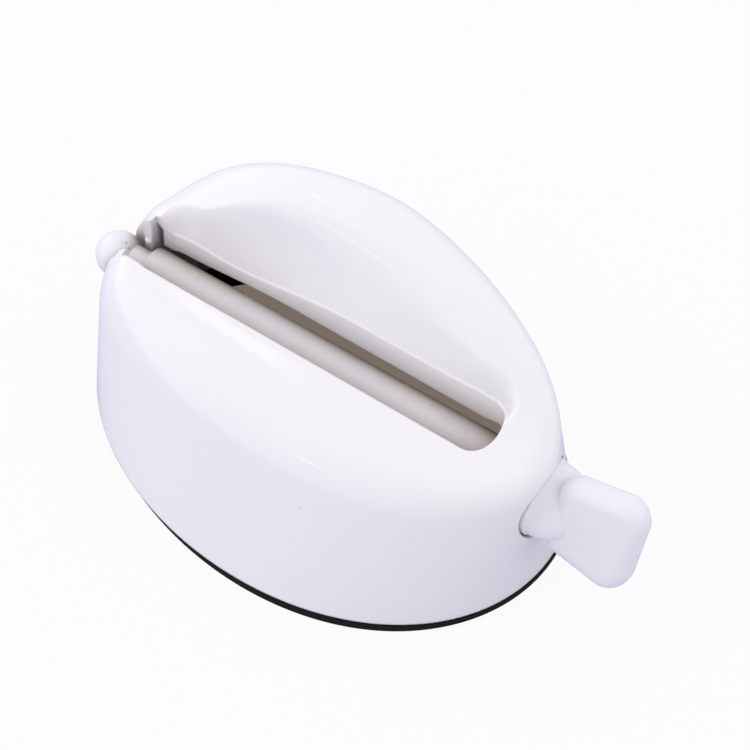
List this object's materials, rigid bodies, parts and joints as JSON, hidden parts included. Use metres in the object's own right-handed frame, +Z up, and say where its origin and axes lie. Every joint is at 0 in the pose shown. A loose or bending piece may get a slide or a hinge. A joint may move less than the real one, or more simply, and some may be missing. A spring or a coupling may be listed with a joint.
{
  "type": "toothpaste dispenser",
  "caption": "Free-standing toothpaste tube squeezer: white two-lobed housing with a long tube slot and a winding key that rolls the tube up inside.",
  "frame": {"origin": "centre of the oval foot, on the plane that the dispenser stands on", "axes": "+X along the winding shaft towards the paddle, +Y towards the tall lobe, +Z up"},
  "size_m": [0.1087, 0.0653, 0.0435],
  "materials": {
    "housing": "gloss",
    "winding_key": "semi-gloss",
    "base_ring": "matt"
  },
  "bodies": {
    "body": {"housing": "housing", "base_ring": "base_ring"},
    "key": {"winding_key": "winding_key"}
  },
  "joints": [
    {"name": "key_turn", "type": "hinge", "parent": "body", "child": "key", "pos_m": [0, 0, 0.0205], "axis": [1, 0, 0], "continuous": true}
  ]
}
